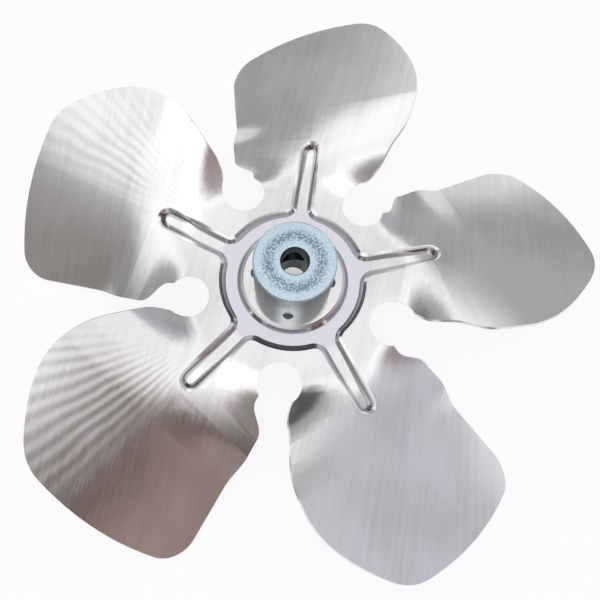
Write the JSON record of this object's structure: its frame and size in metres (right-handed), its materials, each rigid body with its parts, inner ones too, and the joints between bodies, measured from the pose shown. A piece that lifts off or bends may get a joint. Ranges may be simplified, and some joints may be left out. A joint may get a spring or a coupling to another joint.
{
  "type": "fan blade",
  "caption": "Stamped aluminium axial fan with twisted round blades, a pressed ring and ribs, and a turned steel hub that a set screw clamps on a motor shaft",
  "frame": {"origin": "on the axis of the shaft bore, level with the hub-side face of the flat pad", "axes": "+Z along the bore axis towards the free end of the hub, +Y along one of the ribs"},
  "size_m": [0.1746, 0.172, 0.0378],
  "materials": {
    "aluminium_sheet": "bright rolled mill finish with a fine straight grain",
    "zinc_plated_steel": "bright bluish zinc plating over turned steel",
    "black_steel": "black oxide on alloy steel"
  },
  "bodies": {
    "root": {"blade_sheet": "aluminium_sheet", "hub": "zinc_plated_steel", "set_screw": "black_steel"}
  },
  "joints": []
}
